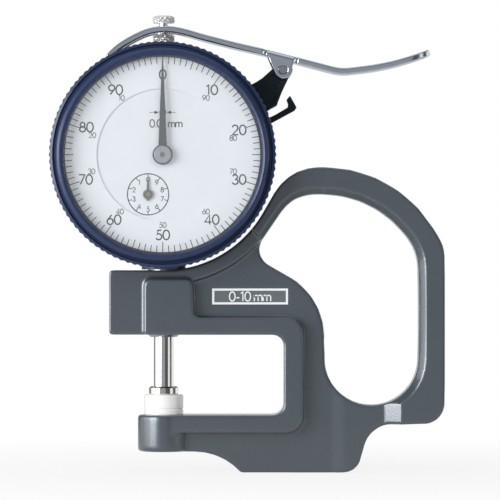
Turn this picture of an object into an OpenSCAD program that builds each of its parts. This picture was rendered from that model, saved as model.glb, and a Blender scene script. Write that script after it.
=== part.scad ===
// Dial thickness gauge: cast frame with loop handle, dial indicator and lifting lever.
// Millimetres. The foot's middle is the origin, Z goes up along the spindle and the dial faces -Y.

/* [Frame] */
// Distance from the spindle's axis to the throat's back wall
throat_depth = 30.6; // [28:0.1:36]
// Height of the throat's floor above the foot
throat_floor = 14.7; // [13:0.1:18]
// Clear height of the throat
throat_height = 20.4; // [18:0.1:24]
// Height of the upper block that holds the stem
block_height = 16.4; // [14:0.1:18]
// Reach of the upper block to the left of the spindle
block_reach = 13.8; // [12:0.1:16]
// Width of the column between the throat and the finger loop
column_width = 10.4; // [9:0.1:13]
// Width of the finger loop
loop_width = 23.9; // [21.9:0.1:27]
// Width of the handle's upright bar
bar_width = 6.6; // [5.5:0.1:8.5]
// Half thickness of the thin web
web_half = 3.1; // [2.6:0.05:3.8]
// Half thickness of the upper block and the rim beside the dial
block_half = 5; // [4.7:0.05:5.6]
// Half thickness of the raised rib and the boss round the stem
rib_half = 6.3; // [6:0.05:7]
// Half thickness of the handle
handle_half = 6; // [5.7:0.05:6.8]
// Width of the slope on the loop's inner edge
loop_bevel = 1.7; // [0.8:0.1:2.2]
// Radius of the lower jaw's round boss
jaw_r = 6.6; // [6.2:0.1:7.5]

/* [Measuring stack] */
// Radius of the ceramic faces
face_r = 5; // [4.5:0.05:5.5]
// Height of the anvil above the lower jaw
anvil_rise = 1.5; // [1:0.05:2.2]
// Thickness of the ceramic contact disc
contact_thick = 3.6; // [2.6:0.05:4.2]
// Radius of the steel contact collar
collar_r = 3.74; // [3.3:0.02:4.2]
// Height of the steel contact collar
collar_height = 2.1; // [1.6:0.05:2.6]
// Radius of the spindle
spindle_r = 2.5; // [2.4:0.01:2.6]
// Radius of the stem
stem_r = 4; // [3.9:0.01:4.2]
// Length of the stem's end below the upper block
stem_drop = 0.6; // [0.3:0.05:1.2]
// Travel of the spindle
travel = 10; // [8:0.5:10]

/* [Dial] */
// Outer radius of the fluted bezel
bezel_r = 28.7; // [27.5:0.1:31]
// Number of flutes round the bezel
flute_count = 100; // [80:1:120]
// Depth of the bezel's flutes
flute_depth = 0.32; // [0.2:0.02:0.5]
// Gap between the bezel and the frame
bezel_gap = 0.5; // [0.4:0.05:1]
// Thickness of the back cover
cover_thick = 1.6; // [1.2:0.1:2]
// Depth of the case behind the spindle's axis
case_back = 6.4; // [6:0.1:8]
// Radius of the fixed inner dial
inner_dial_r = 16.7; // [16.2:0.05:17.2]
// Height of the bezel's front above its back edge
bezel_depth = 7.1; // [6.9:0.1:8]

/* [Movement] */
// Teeth of the first gear and of the take-up gear
wheel_teeth = 100; // [90:10:110]
// Distance from the centre pinion to each wheel
wheel_offset = 10.666; // [10.2:0.05:11]
// Thickness of the wheels
wheel_thick = 0.8; // [0.6:0.05:0.9]

/* [Lever] */
// Thickness of the lever's strip
lever_thick = 1.6; // [1.3:0.05:1.8]
// Width of the lever's strip
lever_width = 10; // [9.6:0.1:11]
// Width of the fork's slot round the knob's neck
fork_slot = 3.9; // [3.6:0.1:4.4]
// Thickness of the lever's ears
ear_thick = 1.1; // [0.8:0.05:1.2]
// Radius of the bend between the strip and an ear
ear_bend = 1; // [0.6:0.1:1.1]
// Width of the relief notches beside the ears
relief_width = 0.8; // [0.5:0.1:1]
// Depth of the relief notches beside the ears
relief_depth = 1.3; // [1:0.1:1.6]
// Radius of the lever's pin
pin_r = 1; // [0.8:0.02:1.1]
// Radius of the lifting knob
knob_r = 2.9; // [2.6:0.05:3.2]

/* [Fits] */
// Radial clearance of a part that turns or slides
run_fit = 0.03; // [0.02:0.005:0.06]
// Radial clearance of a fixed part in its seat
seat_fit = 0.02; // [0.01:0.005:0.04]
// Side clearance between the lever's ears and the bracket
ear_gap = 0.3; // [0.2:0.05:0.5]

/* [Hidden] */
$fn = 64;
eps = 0.01;
throat_top = throat_floor + throat_height;
block_top = throat_top + block_height;
dial_gap_r = bezel_r + bezel_gap;
dial_z = block_top + dial_gap_r;
// scale of everything that is laid out round the dial
k = bezel_r / 28.7;
case_r = bezel_r - 1.9;
case_in = bezel_r - 3.7;
spigot_r = bezel_r - 3.1;
spigot_in = bezel_r - 4.9;
dial_ring_r = bezel_r - 3.5;
floor_back = 6.2;
floor_front = 7.4;
spigot_front = 9.9;
bezel_back = 7.9;
bezel_front = bezel_back + bezel_depth;
bridge_back = spindle_r + 0.4;
bridge_front = bridge_back + 1;
wheel_back = bridge_front + 0.5;
wheel_front = wheel_back + wheel_thick;
dial_back = 10.5;
dial_front = 11.2;
// the turning ring's lip runs over the edge of the fixed dial
inner_front = dial_back + 0.35;
lip_back = inner_front + 0.12;
lip_width = 1.3;
pointer_back = dial_front + 1;
pointer_front = pointer_back + 0.2;
// frame layout
jaw_under = throat_floor - 9.4;
rib_under = throat_floor - 4.5;
rib_right = throat_depth + 5.1;
rib_over = throat_top + 4.5;
loop_left = throat_depth + column_width;
loop_right = loop_left + loop_width;
handle_right = loop_right + bar_width;
handle_under = throat_floor - 2.3;
handle_top = dial_z - 3 * k;
loop_under = throat_floor + 2.4;
loop_top = handle_top - 6.9;
foot_left = throat_depth - 10.9;
foot_right = loop_left + 8.35;
foot_mid = (foot_left + foot_right - 3.6) / 2;
boss_half = spindle_r + 4.9;
boss_top = block_top - 2.1;
rim_width = 3.6;
step_rise = 0.5;
neck_x = dial_gap_r * cos(30);
neck_z = dial_z - dial_gap_r * sin(30);
neck_top_x = neck_x + (handle_top - neck_z) * tan(30);
corner_z = dial_z - 23.4;
slope_x = handle_right - (handle_top - corner_z) * 0.601;
loop_corner_z = corner_z - 1.15;
loop_slope_x = loop_right - (loop_top - loop_corner_z) * 0.78;
// rounds at the top of the handle and of the loop take fixed shares of their straight edges
top_edge = slope_x - neck_top_x;
top_round = 0.67 * top_edge / tan(29.5);
neck_round = 0.278 * top_edge / tan(30);
loop_neck_x = neck_x + 7.8;
loop_edge = loop_slope_x - loop_neck_x;
loop_top_round = 0.638 * loop_edge / tan(26);
loop_neck_round = 0.266 * loop_edge / tan(27.9);
// measuring stack
anvil_face = throat_floor + anvil_rise;
contact_top = anvil_face + contact_thick;
collar_top = contact_top + collar_height;
rod_r = spindle_r - 1;
rod_start = dial_z + 13 * k;
knob_under = dial_z + 33.75 * k;
knob_top = knob_under + 1.9;
neck_r = 1.15;
bush_r = knob_r - 0.05;
bush_top = dial_z + 30.9 * k;
bush_seat = dial_z + case_r + 0.3;
// wheel train: leaves of the centre pinion, teeth of the rack pinion, spindle lift for its one turn
leaf_teeth = 10;
rack_teeth = 16;
lift_per_turn = 10;
wheel_angle = atan2(-10, -3.71);
wheel_span = wheel_offset * k;
first_x = wheel_span * cos(wheel_angle);
first_z = wheel_span * sin(wheel_angle);
wheel_module = 2 * wheel_span / (wheel_teeth + leaf_teeth);
wheel_pitch_r = wheel_module * wheel_teeth / 2;
leaf_pitch_r = wheel_module * leaf_teeth / 2;
rack_pitch = lift_per_turn / rack_teeth;
rack_pitch_r = lift_per_turn / (2 * PI);
rack_line = first_x + rack_pitch_r;
arbor_r = 0.5;
// guide and spring
guide_z = dial_z + 8 * k;
guide_pin_r = 0.55;
spring_x = 8.6 * k;
post_z = dial_z - 19.5 * k;
// lever
pivot = [30.46 * k, dial_z + 21.75 * k];
ear_out = lever_width / 2;
ear_in = ear_out - ear_thick;
arm_half = ear_in - ear_gap;

// corner rounding for outlines given as [x, z, radius]
function unit(v) = v / norm(v);

function corner(p, a, b, r, step) =
    let (
        u = unit(a - p),
        w = unit(b - p),
        half = acos(max(-1, min(1, u * w))) / 2,
        c = p + unit(u + w) * r / sin(half),
        s = p + u * r / tan(half) - c,
        e = p + w * r / tan(half) - c,
        s_at = atan2(s[1], s[0]),
        turn_raw = atan2(e[1], e[0]) - s_at,
        turn = turn_raw > 180 ? turn_raw - 360 : (turn_raw < -180 ? turn_raw + 360 : turn_raw),
        n = max(3, ceil(abs(turn) / step))
    )
    [for (i = [0:n]) c + r * [cos(s_at + turn * i / n), sin(s_at + turn * i / n)]];

function flat(v) = [v[0], v[1]];

function rounded(v, step = 12) =
    let (n = len(v))
    [for (i = [0:n - 1]) each (
        v[i][2] == 0
        ? [flat(v[i])]
        : corner(flat(v[i]), flat(v[(i + n - 1) % n]), flat(v[(i + 1) % n]), v[i][2], step)
    )];

// outline moved inward by d; the outline runs anticlockwise
function inset(p, d) =
    let (n = len(p))
    [for (i = [0:n - 1])
        let (
            a = unit(p[i] - p[(i + n - 1) % n]),
            b = unit(p[(i + 1) % n] - p[i]),
            na = [a[1], -a[0]],
            nb = [b[1], -b[0]],
            m = unit(na + nb)
        )
        p[i] - m * d / (m * na)
    ];

// solid through rings of [depth, inset] along an outline in the X and Z plane
module loft(p, rings) {
    n = len(p);
    last = len(rings) - 1;
    points = [for (r = rings) each [for (q = inset(p, r[1])) [q[0], r[0], q[1]]]];
    sides = [for (j = [0:last - 1]) each [for (i = [0:n - 1]) each [
        [j * n + i, j * n + (i + 1) % n, (j + 1) * n + (i + 1) % n],
        [j * n + i, (j + 1) * n + (i + 1) % n, (j + 1) * n + i]
    ]]];
    front = [for (i = [n - 1:-1:0]) i];
    back = [for (i = [0:n - 1]) last * n + i];
    polyhedron(points, concat([front, back], sides), convexity = 8);
}

// shape drawn in X and Z, extruded evenly about the middle plane
module plate(half) {
    rotate([90, 0, 0]) linear_extrude(2 * half, center = true) children();
}

// local z is the distance in front of the middle plane, local y is up
module dial_axis(x = 0, z = 0) {
    translate([x, 0, dial_z + z]) rotate([90, 0, 0]) children();
}

module disc(r, from, to) {
    translate([0, 0, from]) cylinder(r = r, h = to - from);
}

module ring(r_out, r_in, from, to) {
    difference() {
        disc(r_out, from, to);
        disc(r_in, from - 1, to + 1);
    }
}

// radial axis in the dial's plane, at an angle from the right
module radial(angle) {
    translate([0, 0, dial_z]) rotate([0, 90 - angle, 0]) children();
}

// frame outlines, anticlockwise
silhouette = rounded([
    [-4.5, jaw_under, 0],
    [throat_depth - 15.6, jaw_under, 15.9],
    [foot_left, 0, 0.6],
    [foot_right, 0, 4.6],
    [foot_right + 3.08, handle_under, 7.6],
    [handle_right, handle_under, 5.5],
    [handle_right, corner_z, 9],
    [slope_x, handle_top, top_round],
    [neck_top_x, handle_top, neck_round],
    [neck_x, neck_z, 0],
    [6, dial_z - dial_gap_r + 3, 0],
    [0, block_top, 0],
    [-block_reach, block_top, 0.8],
    [-block_reach, throat_top, 0.8],
    [throat_depth, throat_top, 2.8],
    [throat_depth, throat_floor, 2.8],
    [-4.5, throat_floor, 0]
]);

block_outline = rounded([
    [-block_reach, throat_top, 0.8],
    [boss_half - 0.5, throat_top, 0],
    [boss_half - 0.5, block_top + 2, 0],
    [0, block_top, 0],
    [-block_reach, block_top, 0.8]
]);

rib_outline = rounded([
    [0, rib_under, 0],
    [rib_right, rib_under, 4.5],
    [rib_right, rib_over, 4.5],
    [boss_half + 0.4, rib_over, 1.5],
    [boss_half, boss_top, 1.8],
    [-boss_half + 2.6, boss_top, 1.8],
    [-boss_half + 2.6, throat_top, 0.5],
    [throat_depth, throat_top, 2.8],
    [throat_depth, throat_floor, 2.8],
    [0, throat_floor, 0]
]);

handle_upper = rounded([
    [handle_right, throat_top - 4, 0],
    [handle_right, corner_z, 9],
    [slope_x, handle_top, top_round],
    [neck_top_x, handle_top, neck_round],
    [neck_x, neck_z, 0],
    [neck_x - 3, neck_z - 4, 0],
    [neck_x + 1, neck_z - 8.2, 0],
    [loop_left - 1, neck_z - 6, 0],
    [loop_left + 13, throat_top + 10, 0],
    [loop_left + 13, throat_top - 4, 0]
]);

handle_lower = rounded([
    [loop_left + 2, 0, 0],
    [foot_right, 0, 4.6],
    [foot_right + 3.08, handle_under, 7.6],
    [handle_right, handle_under, 5.5],
    [handle_right, throat_top - 3, 0],
    [loop_left + 14, throat_top - 3, 0],
    [loop_left + 9, loop_under + 5, 0],
    [loop_left + 2, loop_under + 5, 0]
]);

loop_outline = rounded([
    [loop_left, loop_under, loop_width / 2 - eps],
    [loop_right, loop_under, loop_width / 2 - eps],
    [loop_right, loop_corner_z, 13],
    [loop_slope_x, loop_top, loop_top_round],
    [loop_neck_x, loop_top, loop_neck_round],
    [neck_x - 2.8, neck_z - 10.8, 4.5],
    [loop_left, throat_top + 9.5, 17.5]
]);

module frame_levels() {
    plate(web_half) polygon(silhouette);
    plate(block_half) polygon(block_outline);
    plate(rib_half) polygon(rib_outline);
    plate(handle_half) polygon(handle_upper);
    intersection() {
        plate(handle_half) polygon(handle_lower);
        linear_extrude(throat_top) polygon([
            [loop_left + 1.7, -web_half],
            [loop_left + 5, -web_half - step_rise],
            [loop_left + 15.2, -web_half - step_rise],
            [loop_left + 19.6, -handle_half - 0.2],
            [handle_right + 5, -handle_half - 0.2],
            [handle_right + 5, handle_half + 0.2],
            [loop_left + 19.6, handle_half + 0.2],
            [loop_left + 15.2, web_half + step_rise],
            [loop_left + 5, web_half + step_rise],
            [loop_left + 1.7, web_half]
        ]);
    }
    // rim that follows the dial
    dial_axis() linear_extrude(2 * block_half, center = true) intersection() {
        circle(r = dial_gap_r + rim_width, $fn = 96);
        polygon([
            [0, 0],
            [2, -dial_gap_r * 1.5],
            [dial_gap_r * 1.2, -dial_gap_r * 1.2],
            [dial_gap_r * 1.3, -dial_gap_r * 0.72]
        ]);
    }
    // round boss of the lower jaw
    translate([0, 0, jaw_under]) rotate_extrude() polygon([
        [0, 0],
        [jaw_r - 0.5, 0],
        [jaw_r, 0.5],
        [jaw_r, throat_floor - jaw_under - 0.3],
        [jaw_r - 0.3, throat_floor - jaw_under],
        [0, throat_floor - jaw_under]
    ]);
}

plate_x = boss_half + 4.9;
plate_z = rib_over + 3.1;
plate_w = 19.5;
plate_h = 4.25;

module frame() {
    color([0.34, 0.37, 0.4]) difference() {
        frame_levels();
        // finger loop with its sloped inner edge
        loft(loop_outline, [
            [-handle_half - 2, -loop_bevel - 2],
            [loop_bevel - handle_half, 0],
            [handle_half - loop_bevel, 0],
            [handle_half + 2, -loop_bevel - 2]
        ]);
        // room for the dial
        dial_axis() cylinder(r = dial_gap_r, h = 40, center = true, $fn = 180);
        // bore for the stem
        translate([0, 0, throat_top - 1]) cylinder(r = stem_r + seat_fit, h = block_height + 4);
        // hole for the set screw
        translate([0, 0, throat_top + 8]) rotate([0, -90, 0]) cylinder(r = 2 + seat_fit, h = block_reach + 1);
        // seat for the anvil's shank
        translate([0, 0, throat_floor - 5]) cylinder(r = face_r - 1.5 + seat_fit, h = 6);
        // shallow seat for the plate
        translate([plate_x - 0.05, -web_half - 1, plate_z - 0.05]) cube([plate_w + 0.1, 1.15, plate_h + 0.1]);
    }
}

module anvil() {
    color([0.95, 0.95, 0.94]) rotate_extrude() polygon([
        [0, throat_floor - 4.9],
        [face_r - 1.5, throat_floor - 4.9],
        [face_r - 1.5, throat_floor],
        [face_r - 0.15, throat_floor],
        [face_r, throat_floor + 0.15],
        [face_r, anvil_face - 0.25],
        [face_r - 0.25, anvil_face],
        [0, anvil_face]
    ]);
}

module range_plate() {
    color([0.75, 0.77, 0.8]) translate([plate_x, -web_half - 0.05, plate_z]) cube([plate_w, 0.2, plate_h]);
}

module stem_set_screw() {
    color([0.2, 0.2, 0.22]) translate([-stem_r, 0, throat_top + 8]) rotate([0, -90, 0]) difference() {
        cylinder(r = 2, h = 5);
        translate([0, 0, 2.6]) cylinder(r = 1.15, h = 3, $fn = 6);
    }
}

module stem() {
    top = dial_z - case_in + 1.5;
    color([0.7, 0.72, 0.75]) rotate_extrude() polygon([
        [spindle_r + 0.7, throat_top - stem_drop],
        [stem_r - 0.6, throat_top - stem_drop],
        [stem_r, throat_top],
        [stem_r, top],
        [spindle_r + 0.7, top]
    ]);
}

module lower_bush() {
    color([0.72, 0.55, 0.3]) rotate_extrude() polygon([
        [spindle_r + run_fit, throat_top - stem_drop + 0.2],
        [spindle_r + 0.7, throat_top - stem_drop + 0.2],
        [spindle_r + 0.7, throat_top + 9],
        [spindle_r + run_fit, throat_top + 9]
    ]);
}

cover_screw_r = bezel_r - 6.1;
bracket_angles = [14, 45];

module case() {
    color([0.25, 0.26, 0.28]) difference() {
        union() {
            difference() {
                union() {
                    dial_axis() disc(case_r, -case_back, floor_front, $fn = 128);
                    dial_axis() disc(spigot_r, floor_front - eps, spigot_front, $fn = 128);
                    // boss that takes the stem
                    translate([0, 0, block_top + 0.2]) cylinder(r = stem_r + 1.6, h = bezel_gap + 3);
                    // seat of the upper bush
                    translate([0, 0, dial_z + case_r - 2]) cylinder(r = 4, h = 2.3);
                }
                dial_axis() disc(case_in, -case_back - 1, floor_back, $fn = 128);
                dial_axis() disc(spigot_in, floor_front, spigot_front + 1, $fn = 128);
            }
            // lugs for the cover's screws
            for (a = [45:90:315]) dial_axis() rotate(a) translate([-cover_screw_r, 0, 0])
                disc(2.8, 0.1 - case_back, floor_back + 0.3);
        }
        translate([0, 0, block_top - 1]) cylinder(r = stem_r + seat_fit, h = 12);
        translate([0, 0, dial_z + case_in - 3]) cylinder(r = 2.1 + seat_fit, h = 8);
        for (p = [[0, 0], [first_x, first_z], [-first_x, -first_z]]) dial_axis(p[0], p[1])
            disc(arbor_r + run_fit, 5, 9);
        // groove for the retaining ring
        dial_axis() ring(spigot_r + 1, spigot_r - 0.5, 8.35, 9.15, $fn = 128);
        for (a = [45:90:315]) dial_axis() rotate(a) translate([cover_screw_r, 0, 0])
            disc(0.8 + seat_fit, -case_back - 1, -case_back + 5);
        for (a = bracket_angles) radial(a) translate([0, 0, case_r - 4]) cylinder(r = 0.8 + seat_fit, h = 6);
        radial(180) translate([1, 0, case_r - 5]) cylinder(r = 1 + run_fit, h = 7);
    }
}

module back_cover() {
    color([0.3, 0.31, 0.33]) difference() {
        dial_axis() disc(case_r - 0.1, -case_back - cover_thick, -case_back - 0.3, $fn = 128);
        for (a = [45:90:315]) dial_axis() rotate(a) translate([cover_screw_r, 0, -case_back - cover_thick]) {
            disc(0.8 + seat_fit, -1, cover_thick + 1);
            disc(1.6 + seat_fit, -1, 0.8);
        }
    }
}

module cover_gasket() {
    color([0.1, 0.1, 0.1]) difference() {
        dial_axis() ring(case_r - 0.2, case_in - 0.2, -case_back - 0.3, -case_back, $fn = 96);
        for (a = [45:90:315]) dial_axis() rotate(a) translate([cover_screw_r, 0, 0]) disc(2.5, -case_back - 2, 0);
    }
}

module cover_screws() {
    color([0.6, 0.6, 0.62]) for (a = [45:90:315]) dial_axis() rotate(a)
        translate([cover_screw_r, 0, -case_back - cover_thick]) difference() {
            union() {
                disc(1.6, 0.05, 0.8);
                disc(0.8, 0.7, cover_thick + 3.5);
            }
            translate([-2, -0.2, -1]) cube([4, 0.4, 1.4]);
        }
}

// outline of a knurl: ridges of a given depth round a circle
function knurl(r, count, depth) =
    [for (i = [0:2 * count - 1]) (r - (i % 2) * depth) * [cos(i * 180 / count), sin(i * 180 / count)]];

module upper_bush() {
    color([0.75, 0.76, 0.78]) difference() {
        union() {
            translate([0, 0, bush_seat]) intersection() {
                linear_extrude(bush_top - bush_seat) polygon(knurl(bush_r, 24, 0.22));
                rotate_extrude() polygon([
                    [0, 0],
                    [bush_r + 0.1, 0],
                    [bush_r + 0.1, bush_top - bush_seat - 0.45],
                    [bush_r - 0.35, bush_top - bush_seat],
                    [0, bush_top - bush_seat]
                ]);
            }
            translate([0, 0, dial_z + case_in - 1]) cylinder(r = 2.1, h = bush_seat - dial_z - case_in + 1 + eps);
        }
        translate([0, 0, dial_z + case_in - 2]) cylinder(r = rod_r + run_fit, h = 14);
    }
}

// corners of the bridge plate and the places of its pillars, from the dial's centre
bridge_corners = k * [[-7, -14.5], [12, -15], [17, -2], [9.5, 20.5], [1.5, 20.5], [-12, 15], [-17, 2]];
pillar_places = k * [[-14.6, 2], [-10.5, 13], [14.6, -2], [10.5, -13]];

module bridge_plate() {
    color([0.78, 0.66, 0.35]) difference() {
        dial_axis() translate([0, 0, bridge_back]) linear_extrude(bridge_front - bridge_back)
            polygon(rounded([for (c = bridge_corners) [c[0], c[1], 2]]));
        dial_axis() disc(arbor_r + run_fit, 0, 8);
        dial_axis(-first_x, -first_z) disc(arbor_r + run_fit, 0, 8);
        dial_axis(first_x, first_z) disc(rack_pitch_r + 0.5, 0, 8);
        for (p = pillar_places) dial_axis(p[0], p[1]) disc(0.8 + seat_fit, 0, 8);
    }
}

module bridge_pillars() {
    color([0.7, 0.6, 0.35]) for (p = pillar_places) dial_axis(p[0], p[1]) difference() {
        disc(1.4, bridge_front, floor_back);
        disc(0.8 + seat_fit, bridge_front - 1, floor_back - 0.6);
    }
}

module bridge_screws() {
    color([0.3, 0.35, 0.5]) for (p = pillar_places) dial_axis(p[0], p[1]) difference() {
        union() {
            disc(1.5, bridge_back - 0.8, bridge_back);
            disc(0.8, bridge_back - eps, bridge_front + 1.5);
        }
        translate([-2, -0.18, bridge_back - 1.4]) cube([4, 0.36, 1]);
    }
}

module pinion_cock() {
    color([0.78, 0.66, 0.35]) difference() {
        dial_axis(first_x, first_z) union() {
            translate([-6.4, -2.4, -3.4]) cube([3.8, 4.8, bridge_back + 3.4]);
            translate([-6.4, -2.4, -3.4]) cube([7.3, 4.8, 1.6]);
        }
        dial_axis(first_x, first_z) disc(arbor_r + run_fit, -5, 0);
        dial_axis(first_x - 4.5, first_z) disc(0.8 + seat_fit, -5, 8);
    }
}

module cock_screw() {
    color([0.3, 0.35, 0.5]) dial_axis(first_x - 4.5, first_z) difference() {
        union() {
            disc(1.5, -4.2, -3.4);
            disc(0.8, -3.4 - eps, bridge_back - 0.1);
        }
        translate([-2, -0.18, -4.7]) cube([4, 0.36, 0.9]);
    }
}

module guide_block() {
    low = guide_z - 2.5;
    height = dial_z + 20.5 * k - low;
    color([0.55, 0.56, 0.58]) difference() {
        translate([3.4, -bridge_back, low]) cube([3.4, bridge_back + 1.8, height]);
        translate([3, -guide_pin_r - 0.05, low + 1]) cube([5, 2 * guide_pin_r + 0.1, height]);
    }
}

module spring_post() {
    color([0.6, 0.6, 0.62]) dial_axis(spring_x, post_z - dial_z) union() {
        disc(0.7, -1.6, floor_back);
        disc(1.1, -2.1, -1.6);
    }
}

// coil between the post and the guide pin, with a straight eye stem at each end
module return_spring() {
    low = post_z + 0.7;
    high = guide_z - guide_pin_r;
    color([0.65, 0.66, 0.68]) translate([spring_x, 0, 0]) {
        translate([0, 0, low + 1.2]) linear_extrude(high - low - 2.4, twist = -360 * 14, slices = 14 * 10, $fn = 10)
            translate([0.95, 0]) circle(r = 0.22, $fn = 6);
        translate([0, 0, low + 0.05]) cylinder(r = 0.2, h = 1.3);
        translate([0, 0, high - 1.35]) cylinder(r = 0.2, h = 1.3);
        translate([-0.2, -0.2, low + 1.15]) cube([1.3, 0.4, 0.3]);
        translate([-0.2, -0.2, high - 1.45]) cube([1.3, 0.4, 0.3]);
    }
}

function spiral(r_from, r_to, turns, side, count) =
    [for (i = [0:count])
        let (a = 360 * turns * i / count, r = r_from + (r_to - r_from) * i / count + side)
        r * [cos(a), sin(a)]];

module hairspring() {
    out = spiral(0.95, 5, 5, 0.07, 100);
    back = spiral(0.95, 5, 5, -0.07, 100);
    color([0.35, 0.4, 0.6]) dial_axis(-first_x, -first_z) translate([0, 0, wheel_front + 0.2])
        linear_extrude(0.4) polygon(concat(out, [for (i = [100:-1:0]) back[i]]));
}

module hairspring_stud() {
    color([0.7, 0.6, 0.35]) dial_axis(-first_x + 5.45, -first_z) disc(0.38, wheel_front + 0.15, floor_back);
}

module dial_spacer() {
    color([0.5, 0.5, 0.52]) dial_axis() ring(inner_dial_r - 1, inner_dial_r - 2.2, floor_front, dial_back, $fn = 96);
}

module inner_dial() {
    color([0.9, 0.92, 0.95]) difference() {
        dial_axis() disc(inner_dial_r + lip_width, dial_back, inner_front, $fn = 128);
        dial_axis() disc(arbor_r + 0.3, 9, 14);
        dial_axis(first_x, first_z) disc(arbor_r + 0.3, 9, 14);
    }
}

module retaining_ring() {
    color([0.6, 0.6, 0.62]) dial_axis() ring(bezel_r - 2.65, bezel_r - 3.55, 8.4, 9.1, $fn = 128);
}

arm_outline = k * [
    [25, 10.2], [26.8, 11.7], [28.86, 12.8], [30.02, 16], [31.6, 19.3], [32.3, 21], [30.46, 21.75],
    [28.6, 22.3], [27.69, 22], [26.54, 20.95], [25.25, 19.75], [23.29, 18.5], [20.5, 17.2]
];
hook_outline = k * [
    [25.6, 7.6], [27.69, 8.4], [33.4, 11.5], [33.91, 12.28], [32.23, 15.28], [31.32, 14.24],
    [31.73, 13.07], [31.6, 12.28], [28.73, 10.56], [27.3, 9.84], [25.6, 9.5]
];
panel_outline = k * [
    [26.9, 13], [28.1, 13.9], [29.2, 16.6], [30.3, 18.9], [29.1, 19.9], [27.7, 20.6], [26.1, 19.1], [24.9, 18]
];

module lever_bracket() {
    color([0.1, 0.12, 0.13]) difference() {
        union() {
            // saddle on the case
            dial_axis() linear_extrude(2 * arm_half, center = true) difference() {
                intersection() {
                    circle(r = case_r + 1.3, $fn = 128);
                    polygon(40 * [[0, 0], [cos(8), sin(8)], [cos(30), sin(30)] * 1.1, [cos(51), sin(51)]]);
                }
                circle(r = case_r + seat_fit, $fn = 128);
            }
            difference() {
                dial_axis() linear_extrude(2 * arm_half, center = true) polygon(arm_outline);
                dial_axis() cylinder(r = case_r + 0.5, h = 30, center = true, $fn = 128);
                for (side = [-1, 1]) translate([0, side * arm_half, 0]) dial_axis()
                    linear_extrude(0.8, center = true) polygon(panel_outline);
            }
            translate([pivot[0], 0, pivot[1]]) rotate([90, 0, 0])
                cylinder(r = 2 * k, h = 2 * arm_half, center = true);
            difference() {
                dial_axis() linear_extrude(4, center = true) polygon(hook_outline);
                dial_axis() cylinder(r = case_r + 0.5, h = 30, center = true, $fn = 128);
            }
        }
        translate([pivot[0], 0, pivot[1]]) rotate([90, 0, 0]) cylinder(r = pin_r + run_fit, h = 30, center = true);
        for (a = bracket_angles) radial(a) translate([0, 0, case_r - 2]) cylinder(r = 0.8 + seat_fit, h = 8);
    }
}

module bracket_screws() {
    color([0.3, 0.3, 0.32]) for (a = bracket_angles) radial(a) difference() {
        union() {
            translate([0, 0, case_r - 1.6]) cylinder(r = 0.8, h = 3);
            translate([0, 0, case_r + 1.3 + seat_fit]) cylinder(r = 1.3, h = 0.55);
        }
        translate([-0.17, -2, case_r + 1.6]) cube([0.34, 4, 1]);
    }
}

flute_outline = [for (i = [0:4 * flute_count - 1])
    let (a = 90 * i, at = 90 * i / flute_count)
    (bezel_r - flute_depth * (1 - cos(a)) / 2) * [cos(at), sin(at)]];

module bezel() {
    color([0.2, 0.24, 0.37]) dial_axis() intersection() {
        linear_extrude(40) polygon(flute_outline);
        rotate_extrude($fn = 180) polygon([
            [spigot_r + run_fit, bezel_back],
            [bezel_r - 0.4, bezel_back],
            [bezel_r + 0.12, bezel_back + 0.52],
            [bezel_r + 0.12, bezel_front - 2.5],
            [bezel_r - 0.3, bezel_front - 1.8],
            [bezel_r - 0.9, bezel_front - 1.6],
            [bezel_r - 1.25, bezel_front - 2.2],
            [bezel_r - 1.45, bezel_front - 2.2],
            [bezel_r - 1.75, bezel_front - 1],
            [bezel_r - 2.1, bezel_front - 0.35],
            [bezel_r - 2.6, bezel_front - 0.05],
            [bezel_r - 2.9, bezel_front],
            [bezel_r - 3.3, bezel_front - 0.15],
            [bezel_r - 3.6, bezel_front - 0.55],
            [bezel_r - 3.6, bezel_front - 0.9],
            [dial_ring_r, bezel_front - 0.9],
            [dial_ring_r, dial_back],
            [bezel_r - 4.2, dial_back],
            [bezel_r - 4.2, spigot_front + 0.2],
            [spigot_r + run_fit, spigot_front + 0.2],
            [spigot_r + run_fit, 9.2],
            [bezel_r - 2.55, 9.2],
            [bezel_r - 2.55, 8.3],
            [spigot_r + run_fit, 8.3]
        ]);
    }
}

module crystal() {
    color([0.8, 0.85, 0.9, 0.3]) dial_axis() rotate_extrude($fn = 128) polygon([
        [0, bezel_front - 1],
        [bezel_r - 6, bezel_front - 1.8],
        [dial_ring_r, bezel_front - 1.8],
        [dial_ring_r, bezel_front - 0.9],
        [bezel_r - 3.7, bezel_front - 0.9],
        [bezel_r - 3.7, bezel_front - 0.6],
        [bezel_r - 5, bezel_front - 0.1],
        [bezel_r - 12, bezel_front + 0.3],
        [0, bezel_front + 0.45]
    ]);
}

module crystal_gasket() {
    color([0.1, 0.1, 0.1]) dial_axis()
        ring(dial_ring_r, dial_ring_r - 0.6, bezel_front - 2.3, bezel_front - 1.8, $fn = 128);
}

module dial_ring() {
    color([0.88, 0.91, 0.95]) dial_axis() rotate_extrude($fn = 128) polygon([
        [dial_ring_r, dial_back],
        [dial_ring_r, dial_front],
        [inner_dial_r, dial_front],
        [inner_dial_r, lip_back],
        [inner_dial_r + lip_width + 0.25, lip_back],
        [inner_dial_r + lip_width + 0.25, dial_back]
    ]);
}

// one rack gap: wider at the mouth, so the pinion's teeth run free
module rack_gaps() {
    tip = rack_line - 0.2;
    root = rack_line + 0.26;
    count = round(travel / rack_pitch) + 6;
    translate([0, 0, dial_z + first_z]) rotate([90, 0, 0]) linear_extrude(8, center = true)
        for (i = [-count + 3:3]) translate([0, i * rack_pitch]) polygon([
            [tip - 1, -0.28],
            [tip, -0.245],
            [root, -0.115],
            [root, 0.115],
            [tip, 0.245],
            [tip - 1, 0.28]
        ]);
}

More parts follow.
